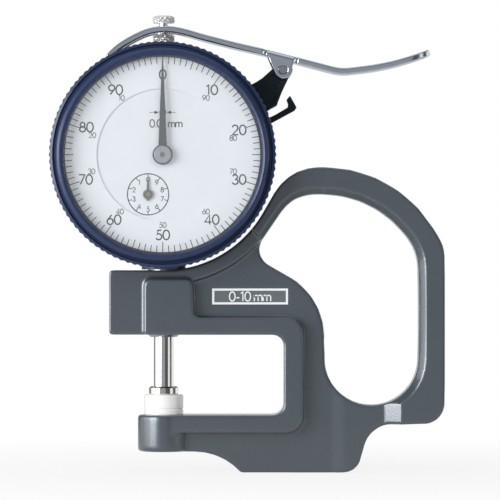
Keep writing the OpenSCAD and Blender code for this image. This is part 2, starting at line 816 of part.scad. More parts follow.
module spindle() {
    color([0.75, 0.77, 0.8]) difference() {
        union() {
            translate([0, 0, collar_top - 1]) cylinder(r = 1.6, h = 2);
            translate([0, 0, collar_top]) cylinder(r = spindle_r, h = rod_start - collar_top);
            translate([0, 0, rod_start - 1]) cylinder(r = rod_r, h = knob_under - 2.2 * k - rod_start + 1);
            translate([0, 0, knob_under - 2.2 * k - eps]) cylinder(r = neck_r, h = 2.2 * k + 1);
        }
        rack_gaps();
        // flat along the rack
        translate([rack_line - 0.2 - 3, -4, dial_z + first_z - travel - 2.6]) cube([3, 8, travel + 5.2]);
        // hole for the guide pin
        translate([0, 0, guide_z]) rotate([0, 90, 0]) cylinder(r = guide_pin_r + seat_fit, h = 4);
    }
}

module contact_collar() {
    color([0.78, 0.79, 0.8]) rotate_extrude() polygon([
        [0, contact_top],
        [collar_r - 0.3, contact_top],
        [collar_r, contact_top + 0.3],
        [collar_r, collar_top - 0.4],
        [collar_r - 0.4, collar_top],
        [1.6 + seat_fit, collar_top],
        [1.6 + seat_fit, collar_top - 1 - seat_fit],
        [0, collar_top - 1 - seat_fit]
    ]);
}

module contact_disc() {
    color([0.96, 0.96, 0.95]) rotate_extrude() polygon([
        [0, anvil_face + 0.01],
        [face_r - 0.25, anvil_face + 0.01],
        [face_r, anvil_face + 0.26],
        [face_r, contact_top - 0.25],
        [face_r - 0.25, contact_top],
        [0, contact_top]
    ]);
}

module lifting_knob() {
    color([0.78, 0.79, 0.8]) difference() {
        translate([0, 0, knob_under]) intersection() {
            linear_extrude(knob_top - knob_under) polygon(knurl(knob_r, 26, 0.2));
            rotate_extrude() polygon([
                [0, 0],
                [knob_r - 0.3, 0],
                [knob_r + 0.1, 0.4],
                [knob_r + 0.1, 1.14],
                [knob_r - 0.25, 1.7],
                [knob_r - 0.9, 1.9],
                [0, 1.9]
            ]);
        }
        translate([0, 0, knob_under - 1]) cylinder(r = neck_r + seat_fit, h = 2 + seat_fit);
    }
}

module guide_pin() {
    color([0.7, 0.7, 0.72]) translate([0.3, 0, guide_z]) rotate([0, 90, 0]) cylinder(r = guide_pin_r, h = spring_x + 0.9);
}

// wheel outline with straight-flanked teeth: half angles at root, pitch and tip
function teeth(count, root, pitch, tip, a_root, a_pitch, a_tip, start) =
    [for (i = [0:count - 1]) each [for (q = [
        [root, -a_root], [pitch, -a_pitch], [tip, -a_tip], [tip, a_tip], [pitch, a_pitch], [root, a_root]
    ]) let (a = start + i * 360 / count + q[1]) q[0] * [cos(a), sin(a)]]];

function wheel_outline(start) =
    let (p = 360 / wheel_teeth, m = wheel_module)
    teeth(wheel_teeth, wheel_pitch_r - 1.3 * m, wheel_pitch_r, wheel_pitch_r + 0.9 * m,
        0.27 * p, 0.19 * p, 0.075 * p, start);

module first_wheel() {
    color([0.8, 0.68, 0.36]) dial_axis(first_x, first_z) difference() {
        translate([0, 0, wheel_back]) linear_extrude(wheel_thick) polygon(wheel_outline(wheel_angle + 180));
        disc(arbor_r + seat_fit, 0, 9);
        for (a = [45:90:315]) rotate(a) translate([wheel_pitch_r * 0.55, 0, 0]) disc(wheel_pitch_r * 0.25, 0, 9);
    }
}

module rack_pinion() {
    p = 360 / rack_teeth;
    m = rack_pitch / PI;
    color([0.7, 0.72, 0.75]) dial_axis(first_x, first_z) union() {
        translate([0, 0, -1.3]) linear_extrude(2.6) polygon(teeth(rack_teeth,
            rack_pitch_r - 1.25 * m, rack_pitch_r, rack_pitch_r + 0.9 * m, 0.26 * p, 0.19 * p, 0.08 * p, 0));
        disc(arbor_r, -3.1, inner_front + 0.7);
        disc(arbor_r + 0.35, 1.3, wheel_back);
    }
}

module counter_pointer() {
    color([0.25, 0.25, 0.26]) dial_axis(first_x, first_z) difference() {
        union() {
            disc(1.25, inner_front + 0.35, inner_front + 0.65);
            translate([0, 0, inner_front + 0.4]) linear_extrude(0.15)
                polygon([[-0.3, -1.6], [0.3, -1.6], [0.3, 2.4], [0, 4.9], [-0.3, 2.4]]);
        }
        disc(arbor_r + seat_fit, 9, inner_front + 1);
    }
}

module centre_pinion() {
    p = 360 / leaf_teeth;
    m = wheel_module;
    color([0.7, 0.72, 0.75]) dial_axis() union() {
        translate([0, 0, wheel_back - 0.25]) linear_extrude(wheel_thick + 0.5) polygon(teeth(leaf_teeth,
            leaf_pitch_r - 1.25 * m, leaf_pitch_r, leaf_pitch_r + 0.9 * m,
            0.2 * p, 0.19 * p, 0.08 * p, wheel_angle + p / 2));
        disc(arbor_r, bridge_back + 0.1, pointer_back);
    }
}

module main_pointer() {
    color([0.4, 0.4, 0.4]) dial_axis() difference() {
        translate([0, 0, pointer_back]) linear_extrude(pointer_front - pointer_back) union() {
            circle(r = 2.55 * k);
            polygon(k * [
                [-1.15, 0], [1.15, 0], [0.38, 19], [0.12, 24.4], [-0.12, 24.4], [-0.38, 19]
            ]);
        }
        disc(arbor_r - 0.1, dial_front, pointer_front + 1);
    }
}

module pointer_hub() {
    color([0.42, 0.42, 0.43]) dial_axis() rotate_extrude() polygon([
        [0.55 * k, pointer_front],
        [2.2 * k, pointer_front],
        [2.2 * k, pointer_front + 0.4],
        [2 * k, pointer_front + 0.6],
        [0.75 * k, pointer_front + 0.6],
        [0.55 * k, pointer_front + 0.4]
    ]);
}

module takeup_wheel() {
    color([0.8, 0.68, 0.36]) dial_axis(-first_x, -first_z) difference() {
        translate([0, 0, wheel_back]) linear_extrude(wheel_thick) polygon(wheel_outline(wheel_angle));
        disc(arbor_r + seat_fit, 0, 9);
        for (a = [45:90:315]) rotate(a) translate([wheel_pitch_r * 0.55, 0, 0]) disc(wheel_pitch_r * 0.25, 0, 9);
    }
}

module takeup_arbor() {
    color([0.7, 0.72, 0.75]) dial_axis(-first_x, -first_z) disc(arbor_r, bridge_back + 0.1, floor_front - 0.2);
}

// middle line of the lever's strip, from the dial's centre
lever_line = k * [
    [-13.96, 24.85], [-12.9, 26.1], [-11.68, 27.25], [-10.1, 28.4], [-8.38, 29.4], [-6.5, 30.4], [-4.58, 31.25],
    [-2.2, 31.9], [0.23, 32.1], [2.3, 32], [4.29, 31.68], [6.8, 31], [9.35, 30.21], [18.73, 27.83],
    [25.06, 26.4], [33.42, 24.28], [40.26, 22.51], [43.55, 21.65], [45.2, 21.42], [46.85, 21.42],
    [53.43, 22.25], [58.25, 23.17], [62.81, 24.49], [66.36, 25.68], [67.88, 26.31]
];

function line_side(p, d) =
    let (n = len(p))
    [for (i = [0:n - 1])
        let (
            a = unit(p[min(i + 1, n - 1)] - p[max(i - 1, 0)])
        )
        p[i] + d * [-a[1], a[0]]];

// middle of the strip over the ears, half the ears' length and the strip's slope there
ear_mid = k * [29.7, 25.2];
ear_half = 3.7 * k;
ear_slope = 14.2;

ear_outline = concat(
    k * [[26.3, 25.6], [33.1, 23.8], [32.9, 21.2]],
    [for (a = [-10:-20:-150]) [pivot[0], pivot[1] - dial_z] + 2.35 * k * [cos(a), sin(a)]]
);

// sharp corner that the bend over an ear takes away, and the notches at its ends
module ear_cuts(side) {
    translate([ear_mid[0], side * ear_out, dial_z + ear_mid[1]]) rotate([0, ear_slope, 0]) {
        translate([0, 0, lever_thick / 2]) rotate([90, 0, 90]) linear_extrude(2 * ear_half, center = true)
            polygon(concat(
                [for (a = [0:30:90]) [side * ear_bend * (cos(a) - 1), ear_bend * (sin(a) - 1)]],
                [[-side * ear_bend, 1], [side, 1], [side, -ear_bend]]
            ));
        for (end = [-1, 1]) translate([end * (ear_half + relief_width / 2), 0, 0])
            cube([relief_width, 2 * relief_depth, 3 * lever_thick], center = true);
    }
}

module lifting_lever() {
    upper = line_side(lever_line, lever_thick / 2);
    lower = line_side(lever_line, -lever_thick / 2);
    n = len(lever_line);
    color([0.8, 0.81, 0.83]) difference() {
        union() {
            intersection() {
                dial_axis() linear_extrude(lever_width, center = true)
                    polygon(concat(lower, [for (i = [n - 1:-1:0]) upper[i]]));
                // rounded thumb end, seen from above
                linear_extrude(400) union() {
                    translate([-40, -lever_width / 2]) square([40 + 62 * k, lever_width]);
                    translate([68 * k - lever_width / 2, 0]) circle(r = lever_width / 2);
                    translate([60 * k, -lever_width / 2]) square([8 * k - lever_width / 2, lever_width]);
                }
            }
            for (side = [-1, 1]) translate([0, side * (ear_out + ear_in) / 2, 0]) dial_axis()
                linear_extrude(ear_thick, center = true) polygon(ear_outline);
        }
        for (side = [-1, 1]) ear_cuts(side);
        // fork
        translate([-40, -fork_slot / 2, 0]) cube([44, fork_slot, 400]);
        translate([4, 0, 0]) cylinder(r = fork_slot / 2, h = 400);
        translate([pivot[0], 0, pivot[1]]) rotate([90, 0, 0]) cylinder(r = pin_r + seat_fit, h = 30, center = true);
    }
}

module lever_pin() {
    color([0.7, 0.7, 0.72]) translate([pivot[0], 0, pivot[1]]) rotate([90, 0, 0])
        cylinder(r = pin_r, h = lever_width + 0.3, center = true);
}

module clamp_screw() {
    color([0.75, 0.76, 0.78]) radial(180) translate([1, 0, 0]) union() {
        translate([0, 0, case_r - 2.5]) cylinder(r = 1, h = 3);
        translate([0, 0, case_r + 0.3]) linear_extrude(1.5) polygon(knurl(2.7, 16, 0.25));
    }
}

module place() {
    translate([-foot_mid, 0, 0]) children();
}

place() frame();
place() anvil();
place() range_plate();
place() stem_set_screw();
place() stem();
place() lower_bush();
place() case();
place() back_cover();
place() cover_gasket();
place() cover_screws();
place() upper_bush();
place() bridge_plate();
place() bridge_pillars();
place() bridge_screws();
place() pinion_cock();
place() cock_screw();
place() guide_block();
place() spring_post();
place() return_spring();
place() hairspring();
place() hairspring_stud();
place() dial_spacer();
place() inner_dial();
place() retaining_ring();
place() lever_bracket();
place() bracket_screws();
place() bezel();
place() crystal();
place() crystal_gasket();
place() dial_ring();
place() spindle();
place() contact_collar();
place() contact_disc();
place() lifting_knob();
place() guide_pin();
place() centre_pinion();
place() main_pointer();
place() pointer_hub();
place() rack_pinion();
place() first_wheel();
place() counter_pointer();
place() takeup_wheel();
place() takeup_arbor();
place() lifting_lever();
place() lever_pin();
place() clamp_screw();
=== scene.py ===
import math

import bmesh
import bpy
import numpy as np
from mathutils import Matrix, Vector


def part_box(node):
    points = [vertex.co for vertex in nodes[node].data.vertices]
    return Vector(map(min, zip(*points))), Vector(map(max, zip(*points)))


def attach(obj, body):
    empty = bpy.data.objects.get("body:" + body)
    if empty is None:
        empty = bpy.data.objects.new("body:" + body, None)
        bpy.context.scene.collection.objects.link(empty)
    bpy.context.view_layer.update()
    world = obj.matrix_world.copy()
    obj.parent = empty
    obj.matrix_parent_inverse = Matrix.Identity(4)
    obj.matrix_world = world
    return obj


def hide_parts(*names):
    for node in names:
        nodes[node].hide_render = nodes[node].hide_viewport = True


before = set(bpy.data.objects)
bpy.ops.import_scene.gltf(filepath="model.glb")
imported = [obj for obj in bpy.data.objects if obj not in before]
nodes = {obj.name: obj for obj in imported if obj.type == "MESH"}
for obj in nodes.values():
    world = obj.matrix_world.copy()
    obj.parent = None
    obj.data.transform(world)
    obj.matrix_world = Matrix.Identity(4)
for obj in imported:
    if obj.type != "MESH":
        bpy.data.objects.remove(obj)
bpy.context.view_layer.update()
scene = bpy.context.scene
scene.view_settings.view_transform = "Standard"

MM = 0.001


# Places that are read from the frame, in metres
def middle(node):
    low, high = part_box(node)
    return (low + high) / 2


def size(node):
    low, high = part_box(node)
    return high - low


DIAL = middle("pointer_hub")
RING_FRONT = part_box("dial_ring")[0].y
INNER_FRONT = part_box("inner_dial")[0].y


# Colours
def linear(*channels):
    """A colour given as sRGB values from 0 to 255, as the linear colour a shader takes."""
    out = []
    for c in channels:
        c = c / 255
        out.append(c / 12.92 if c <= 0.04045 else ((c + 0.055) / 1.055) ** 2.4)
    return (*out, 1.0)


def shade(colour, factor):
    """The same colour, lighter or darker."""
    return (*[min(1.0, c * factor) for c in colour[:3]], 1.0)


# Shader nodes
def add_node(tree, kind, sockets, **settings):
    """A shader node whose sockets take plain values or what other nodes put out."""
    node = tree.nodes.new(kind)
    for name, value in settings.items():
        setattr(node, name, value)
    for socket, value in sockets.items():
        if isinstance(value, bpy.types.NodeSocket):
            tree.links.new(value, node.inputs[socket])
        else:
            node.inputs[socket].default_value = value
    return node


def noise(tree, cell, detail, stretch=(1, 1, 1)):
    """Noise that stays with the piece; the size of its cells is in mm."""
    place = add_node(tree, "ShaderNodeTexCoord", {})
    mapping = add_node(tree, "ShaderNodeMapping", {"Vector": place.outputs["Object"], "Scale": stretch})
    texture = add_node(tree, "ShaderNodeTexNoise", {
        "Vector": mapping.outputs["Vector"],
        "Scale": 1 / (cell * MM),
        "Detail": detail,
    })
    return texture.outputs["Fac"]


def ramp(tree, measure, stops):
    """A colour by a measure; stops are pairs of its value and the colour there."""
    node = add_node(tree, "ShaderNodeValToRGB", {"Fac": measure})
    elements = node.color_ramp.elements
    while len(elements) < len(stops):
        elements.new(0.5)
    for element, (at, colour) in zip(elements, stops):
        element.position = at
        element.color = colour
    return node.outputs["Color"]


def mixed(tree, factor, first, second):
    """A colour that goes from the first to the second with the factor."""
    node = add_node(tree, "ShaderNodeMix", {"Factor": factor, "A": first, "B": second}, data_type="RGBA")
    return node.outputs["Result"]


def blended(tree, tint, measure, span, amount, other):
    """The tint, going over to another colour as the measure passes through its span."""
    edge = add_node(tree, "ShaderNodeMapRange", {
        "Value": measure,
        "From Min": span[0],
        "From Max": span[1],
        "To Max": amount,
    })
    return mixed(tree, edge.outputs["Result"], tint, other)


# Materials
MOTTLE_DETAIL = 4
GRAIN_DETAIL = 3
WAVE_DETAIL = 1
# values of the mottling noise at its dark and its pale end
MOTTLE_DARK = 0.3
MOTTLE_PALE = 0.7
# pointiness at which worn edges begin and are fully pale
WEAR_SPAN = (0.52, 0.62)
WEAR_SHADE = 2.2
# share of the depth into a knurl's grooves at which its painted shade begins and is full
GROOVE_SPAN = (0.75, 0.95)
# how dark the painted shade at the bottom of the knurl's grooves is
GROOVE_PAINTED_SHADE = 0.06
LEAST_ROUGHNESS = 0.02
GRAIN_STRENGTH = 0.6


def surface(
    name,
    colour,
    roughness,
    metallic=0.0,
    mottle=0.06,
    mottle_size=4.0,
    grain_size=0.4,
    grain_depth=0.004,
    grain_stretch=(1, 1, 1),
    gloss_spread=0.06,
    wear=0.0,
    groove=0.0,
    wave_depth=0.0,
    wave_size=8.0,
    **sockets,
):
    """A procedural finish: colour mottling, grain and waves as bump, uneven gloss. Sizes are in mm."""
    material = bpy.data.materials.new(name)
    material.use_nodes = True
    tree = material.node_tree
    shader = tree.nodes["Principled BSDF"]
    shader.inputs["Metallic"].default_value = metallic
    for socket, value in sockets.items():
        shader.inputs[socket.replace("_", " ")].default_value = value

    tint = ramp(tree, noise(tree, mottle_size, MOTTLE_DETAIL, grain_stretch), [
        (MOTTLE_DARK, shade(colour, 1 - mottle)),
        (MOTTLE_PALE, shade(colour, 1 + mottle)),
    ])
    if wear:
        edges = add_node(tree, "ShaderNodeNewGeometry", {}).outputs["Pointiness"]
        tint = blended(tree, tint, edges, WEAR_SPAN, wear, shade(colour, WEAR_SHADE))
    # painted shade: the knurl's grooves darken towards their bottom
    if groove:
        depth = add_node(tree, "ShaderNodeAttribute", {}, attribute_name="groove").outputs["Fac"]
        tint = blended(tree, tint, depth, GROOVE_SPAN, groove, shade(colour, GROOVE_PAINTED_SHADE))
    tree.links.new(tint, shader.inputs["Base Color"])

    grain = noise(tree, grain_size, GRAIN_DETAIL, grain_stretch)
    gloss = add_node(tree, "ShaderNodeMapRange", {
        "Value": grain,
        "To Min": max(LEAST_ROUGHNESS, roughness - gloss_spread),
        "To Max": roughness + gloss_spread,
    })
    tree.links.new(gloss.outputs["Result"], shader.inputs["Roughness"])

    relief = {"Strength": GRAIN_STRENGTH, "Distance": grain_depth * MM, "Height": grain}
    if wave_depth:
        wave = add_node(tree, "ShaderNodeBump", {
            "Distance": wave_depth * MM,
            "Height": noise(tree, wave_size, WAVE_DETAIL),
        })
        relief["Normal"] = wave.outputs["Normal"]
    bump = add_node(tree, "ShaderNodeBump", relief)
    tree.links.new(bump.outputs["Normal"], shader.inputs["Normal"])
    return material


paint = surface(
    "frame_paint", linear(64, 71, 77), 0.3, mottle=0.05, mottle_size=9, grain_size=0.4,
    grain_depth=0.035, wear=0.35, Specular_IOR_Level=1.0, Specular_Tint=(0.78, 0.88, 1, 1),
    Coat_Weight=1.0, Coat_Roughness=0.18,
)
case_paint = surface("case_paint", linear(66, 72, 78), 0.45, grain_depth=0.015)
bezel_blue = surface(
    "bezel_blue", linear(36, 51, 87), 0.4, metallic=0.2, mottle=0.1, mottle_size=1.2,
    grain_size=0.3, grain_depth=0.012, Specular_IOR_Level=0.35, Coat_Weight=0.4, Coat_Roughness=0.2,
)
DIAL_GRAIN = {"mottle": 0.012, "mottle_size": 3, "grain_size": 0.2, "grain_depth": 0.002}
dial_white = surface("dial_white", linear(225, 229, 234), 0.5, **DIAL_GRAIN)
# a touch paler than the inner dial's white: painted light against the bezel's shade on the ring
ring_white_lightened = surface("ring_white_lightened", linear(228, 232, 237), 0.5, **DIAL_GRAIN)
ink = surface("dial_ink", linear(38, 35, 35), 0.6, mottle=0.15, mottle_size=0.6, grain_size=0.1)
pale_ink = surface("pale_ink", linear(92, 92, 95), 0.6, mottle=0.12, mottle_size=0.6, grain_size=0.1)
pointer_grey = surface(
    "pointer_grey", linear(48, 52, 55), 0.42, metallic=0.2, mottle=0.05, mottle_size=2,
    grain_size=0.15, grain_stretch=(3, 1, 0.4),
)
counter_grey = surface(
    "counter_grey", linear(92, 95, 98), 0.4, metallic=0.3, mottle=0.05, mottle_size=1, grain_size=0.12,
)
hub_grey = surface(
    "hub_grey", linear(164, 167, 172), 0.35, metallic=0.5, mottle=0.06, mottle_size=1.2, grain_size=0.12,
)
chrome = surface(
    "chrome", linear(206, 212, 220), 0.16, metallic=1.0, mottle=0.04, mottle_size=3,
    grain_size=0.3, grain_depth=0.003, grain_stretch=(0.15, 2, 1), wave_depth=0.8, wave_size=10,
)
knurl_steel = surface(
    "knurled_steel", linear(244, 241, 238), 0.16, metallic=0.6, mottle=0.05, mottle_size=0.8,
    grain_size=0.2, grain_depth=0.003, groove=0.9,
)
steel = surface(
    "steel", linear(176, 178, 182), 0.27, metallic=1.0, mottle=0.05, mottle_size=1.5,
    grain_size=0.2, grain_depth=0.004, grain_stretch=(1, 1, 6),
)
polished = surface(
    "polished_steel", linear(235, 231, 226), 0.05, metallic=1.0, mottle=0.03, mottle_size=2,
    grain_size=0.25, grain_depth=0.001, grain_stretch=(1, 1, 8), gloss_spread=0.02,
)
dark_steel = surface("dark_steel", linear(96, 97, 100), 0.35, metallic=1.0, mottle=0.08, mottle_size=0.8)
aluminium = surface("aluminium", linear(184, 186, 188), 0.4, metallic=1.0, mottle=0.04, grain_size=0.2)
brass = surface(
    "brass", linear(196, 164, 92), 0.3, metallic=1.0, mottle=0.07, mottle_size=1.5, grain_size=0.2,
)
ceramic = surface(
    "ceramic", linear(250, 250, 249), 0.22, mottle=0.015, mottle_size=2, grain_size=0.3,
    grain_depth=0.002, Coat_Weight=0.5, Coat_Roughness=0.08,
)
black_plastic = surface(
    "black_plastic", linear(11, 28, 34), 0.42, mottle=0.12, mottle_size=3, grain_size=0.3,
    grain_depth=0.012, Specular_IOR_Level=0.25,
)
rubber = surface("black_rubber", linear(24, 24, 25), 0.75, mottle=0.1, mottle_size=1, grain_size=0.2)
blue_rubber = surface("blue_rubber", linear(48, 57, 78), 0.6, mottle=0.1, mottle_size=1, grain_size=0.2)
plate_print = surface(
    "plate_print", linear(98, 106, 112), 0.4, mottle=0.03, mottle_size=2, grain_size=0.15,
)
plate_border = surface(
    "plate_border", linear(240, 242, 244), 0.45, mottle=0.02, mottle_size=1, grain_size=0.15,
)
crystal = surface(
    "crystal", linear(238, 244, 250), 0.04, mottle=0.01, grain_size=3, grain_depth=0.0005,
    gloss_spread=0.015, Alpha=0.07, IOR=1.49,
)

FINISHES = {
    paint: ["frame"],
    case_paint: ["case", "back_cover"],
    bezel_blue: ["bezel"],
    ring_white_lightened: ["dial_ring"],
    dial_white: ["inner_dial"],
    pointer_grey: ["main_pointer"],
    counter_grey: ["counter_pointer"],
    hub_grey: ["pointer_hub"],
    chrome: ["lifting_lever", "clamp_screw"],
    knurl_steel: ["lifting_knob", "upper_bush"],
    polished: ["spindle", "contact_collar"],
    steel: [
        "stem", "guide_block", "spring_post", "return_spring", "retaining_ring", "guide_pin",
        "centre_pinion", "takeup_arbor", "lever_pin",
    ],
    dark_steel: [
        "stem_set_screw", "cover_screws", "bridge_screws", "cock_screw", "hairspring", "bracket_screws",
    ],
    aluminium: ["dial_spacer"],
    brass: [
        "lower_bush", "bridge_plate", "bridge_pillars", "pinion_cock", "hairspring_stud", "first_wheel",
        "takeup_wheel", "rack_pinion",
    ],
    ceramic: ["anvil", "contact_disc"],
    black_plastic: ["lever_bracket"],
    rubber: ["cover_gasket"],
    blue_rubber: ["crystal_gasket"],
    plate_print: ["range_plate"],
    crystal: ["crystal"],
}


def set_material(piece, material):
    piece.data.materials.clear()
    piece.data.materials.append(material)


for material, names in FINISHES.items():
    for name in names:
        set_material(nodes[name], material)


def add_piece(name, mesh, body, material):
    piece = bpy.data.objects.new(name, mesh)
    scene.collection.objects.link(piece)
    set_material(piece, material)
    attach(piece, body)
    return piece


# Cast and pressed pieces: the node's form with its edges softened
WELD = 0.002 * MM
SOFTEN_FACTOR = 0.5
# share of the remeshed faces that stays
KEPT_FACES = 0.35
# walls and slopes face less than this much to the front or back, and turn gently:
# so many degrees from point to point, and so many more in each mm between them
WALL_LEAN = 0.97
WALL_BEND = 1.5
WALL_TURN = 7
WALL_ROUNDS = 150
# what the walls move by spreads over so many edges beside them
SLOPE_ROUNDS = 60
# the casting's handle lies to the right of this
HANDLE_LEFT = 1 * MM


def welded_copy(node):
    """The node's mesh with the corners of its faces joined."""
    mesh = nodes[node].data.copy()
    shape = bmesh.new()
    shape.from_mesh(mesh)
    bmesh.ops.remove_doubles(shape, verts=shape.verts, dist=WELD)
    shape.to_mesh(mesh)
    shape.free()
    if mesh.has_custom_normals:
        mesh.attributes.remove(mesh.attributes["custom_normal"])
    return mesh


def vertex_vectors(mesh, name):
    """One vector of each vertex, such as its place, in rows."""
    values = np.empty(len(mesh.vertices) * 3)
    mesh.vertices.foreach_get(name, values)
    return values.reshape(-1, 3)


def edge_ends(mesh):
    """The first and the second vertex of every edge."""
    ends = np.empty(len(mesh.edges) * 2, dtype=int)
    mesh.edges.foreach_get("vertices", ends)
    return ends.reshape(-1, 2).T


def neighbour_sums(values, first, second):
    """For each vertex, the sum of the vectors at the far ends of its edges."""
    columns = []
    for column in values.T:
        ahead = np.bincount(first, column[second], len(values))
        columns.append(ahead + np.bincount(second, column[first], len(values)))
    return np.stack(columns, axis=1)


def edge_counts(count, first, second):
    """For each of the vertices, how many edges meet there."""
    return np.bincount(first, minlength=count) + np.bincount(second, minlength=count)


def wall_edges(places, normals, first, second, left):
    """Those edges that run along gently turning walls and slopes right of left."""
    upright = (np.abs(normals[:, 1]) < WALL_LEAN) & (places[:, 0] > left)
    apart = np.linalg.norm(places[first] - places[second], axis=1) / MM
    cosine = (normals[first] * normals[second]).sum(axis=1)
    bend = np.degrees(np.arccos(np.clip(cosine, -1, 1)))
    along = (bend < WALL_BEND + WALL_TURN * apart) & upright[first] & upright[second]
    return first[along], second[along]


def even_walls(mesh, left):
    """Makes smooth curves of the walls right of left, where the outline is a chain of short runs."""
    places = vertex_vectors(mesh, "co")
    normals = vertex_vectors(mesh, "normal")
    count = len(places)
    every_first, every_second = edge_ends(mesh)
    first, second = wall_edges(places, normals, every_first, every_second, left)
    for _ in range(WALL_ROUNDS):
        total = normals + neighbour_sums(normals, first, second)
        normals = total / np.linalg.norm(total, axis=1, keepdims=True)

    # the walls move in or out until they agree with the evened normals
    held = edge_counts(count, first, second)
    outward = normals * (1, 0, 1)
    outward /= np.maximum(np.linalg.norm(outward, axis=1, keepdims=True), 1 - WALL_LEAN)
    between = (normals[first] + normals[second]) / 2
    moved = places.copy()
    for _ in range(WALL_ROUNDS):
        gap = ((moved[second] - moved[first]) * between).sum(axis=1)
        push = np.bincount(first, gap, count) - np.bincount(second, gap, count)
        moved += (push / np.maximum(held, 1) / 2)[:, None] * outward

    # the faces beside them go along, and nothing leaves the piece's own box
    shift = moved - places
    free = held == 0
    near = edge_counts(count, every_first, every_second)[:, None]
    for _ in range(SLOPE_ROUNDS):
        shift[free] = (neighbour_sums(shift, every_first, every_second) / near)[free]
    inside = np.clip(places + shift, places.min(axis=0), places.max(axis=0))
    mesh.vertices.foreach_set("co", inside.ravel())
    mesh.update()
    mesh.normals_split_custom_set_from_vertices(normals)


def cast_copy(node, name, body, material, voxel, rounds, left=-math.inf):
    """A piece with the node's form, its edges softened and its walls right of left evened."""
    source = bpy.data.objects.new(name + "_form", welded_copy(node))
    scene.collection.objects.link(source)
    remesh = source.modifiers.new("cells", "REMESH")
    remesh.mode = "VOXEL"
    remesh.voxel_size = voxel
    soften = source.modifiers.new("soften", "SMOOTH")
    soften.factor = SOFTEN_FACTOR
    soften.iterations = rounds
    thin = source.modifiers.new("thin", "DECIMATE")
    thin.ratio = KEPT_FACES
    graph = bpy.context.evaluated_depsgraph_get()
    made = bpy.data.meshes.new_from_object(source.evaluated_get(graph))
    bpy.data.objects.remove(source)
    for face in made.polygons:
        face.use_smooth = True
    even_walls(made, left)
    piece = add_piece(name, made, body, material)
    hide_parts(node)


cast_copy(
    "frame", "frame_casting", "gauge_body", paint,
    voxel=0.25 * MM, rounds=26, left=HANDLE_LEFT,
)
cast_copy(
    "lifting_lever", "lever_strip", "lever_body", chrome,
    voxel=0.12 * MM, rounds=40,
)
cast_copy(
    "lever_bracket", "bracket_moulding", "gauge_body", black_plastic,
    voxel=0.1 * MM, rounds=5,
)

# Knurled pieces
KNURL_COUNT = 14
KNURL_DEPTH = 0.3 * MM
KNURL_ROW = 0.08 * MM
# points round each ridge
KNURL_POINTS = 8
# the knurl starts this high above the face under it
KNURL_FOOT = 0.25 * MM


def knurled(node, name, body, profile):
    """A turned piece about the spindle's axis; profile holds (radius, height, knurled) in metres."""
    axis = middle(node)
    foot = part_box(node)[0].z
    around = KNURL_POINTS * KNURL_COUNT
    pitch = 2 * math.pi * max(r for r, z, cut in profile) / KNURL_COUNT

    def ridge(turn):
        return abs(2 * (turn % 1) - 1)

    shape = bmesh.new()
    # how deep each point lies in the knurl's grooves, which the material darkens as painted shade
    groove = shape.verts.layers.float.new("groove")
    rows = []
    for radius, z, cut in profile:
        row = []
        for i in range(around):
            ridges = i / KNURL_POINTS
            top = min(ridge(ridges + z / pitch), ridge(ridges - z / pitch))
            inset = 1 - top if cut else 0
            r = radius - KNURL_DEPTH * inset
            a = 2 * math.pi * i / around
            corner = shape.verts.new((axis.x + r * math.cos(a), axis.y + r * math.sin(a), foot + z))
            corner[groove] = inset
            row.append(corner)
        rows.append(row)
    for row, above in zip(rows, rows[1:] + rows[:1]):
        for i in range(around):
            j = (i + 1) % around
            shape.faces.new((row[i], row[j], above[j], above[i]))
    bmesh.ops.recalc_face_normals(shape, faces=shape.faces)
    mesh = bpy.data.meshes.new(name)
    shape.to_mesh(mesh)
    shape.free()
    piece = add_piece(name, mesh, body, knurl_steel)
    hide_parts(node)


def band(radius, start, end):
    """Knurled rows of one radius between two heights."""
    rows = math.ceil((end - start) / KNURL_ROW)
    return [(radius, start + (end - start) * i / rows, True) for i in range(rows + 1)]


def add_knob():
    radius = size("lifting_knob").x / 2
    top = size("lifting_knob").z
    neck = 0.4 * radius
    foot_inset = 0.35 * MM
    knurl_end = top - 0.5 * MM
    shoulder_inset = 0.4 * MM
    shoulder = top - 0.15 * MM
    rim_inset = 0.9 * MM
    # a small pit in the top's middle, and the hollow under it
    pit = 0.1 * MM
    pit_floor = top - 0.3 * MM
    hollow = top - 0.8 * MM
    knurled("lifting_knob", "knob_knurl", "spindle_body", [
        (neck, 0, False),
        (radius - foot_inset, 0, False),
        *band(radius, KNURL_FOOT, knurl_end),
        (radius - shoulder_inset, shoulder, False),
        (radius - rim_inset, top, False),
        (pit, top, False),
        (pit, pit_floor, False),
        (neck, hollow, False),
    ])


def add_bush():
    radius = size("upper_bush").x / 2
    top = size("upper_bush").z
    rod = 1.53 * MM
    shank = 2.1 * MM
    foot_inset = 0.3 * MM
    knurl_end = top - 0.4 * MM
    rim_inset = 0.5 * MM
    # the head stands on the case's seat, the shank goes into it
    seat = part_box("case")[1].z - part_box("upper_bush")[0].z
    knurled("upper_bush", "bush_knurl", "gauge_body", [
        (rod, 0, False),
        (shank, 0, False),
        (shank, seat, False),
        (radius - foot_inset, seat, False),
        *band(radius, seat + KNURL_FOOT, knurl_end),
        (radius - rim_inset, top, False),
        (rod, top, False),
    ])


add_knob()
add_bush()

# Printing: strokes of even width, drawn in the plane of the dial
INK = 0.03 * MM
MOST_MITRE = 1.6
# ends of a glyph's stroke that are this close make a ring
RING_GAP = 0.001
GLYPH_GAP = 0.13


def arc(x, y, rx, ry, start, end, steps=16):
    turn = [math.radians(start + (end - start) * i / steps) for i in range(steps + 1)]
    return [(x + rx * math.cos(a), y + ry * math.sin(a)) for a in turn]


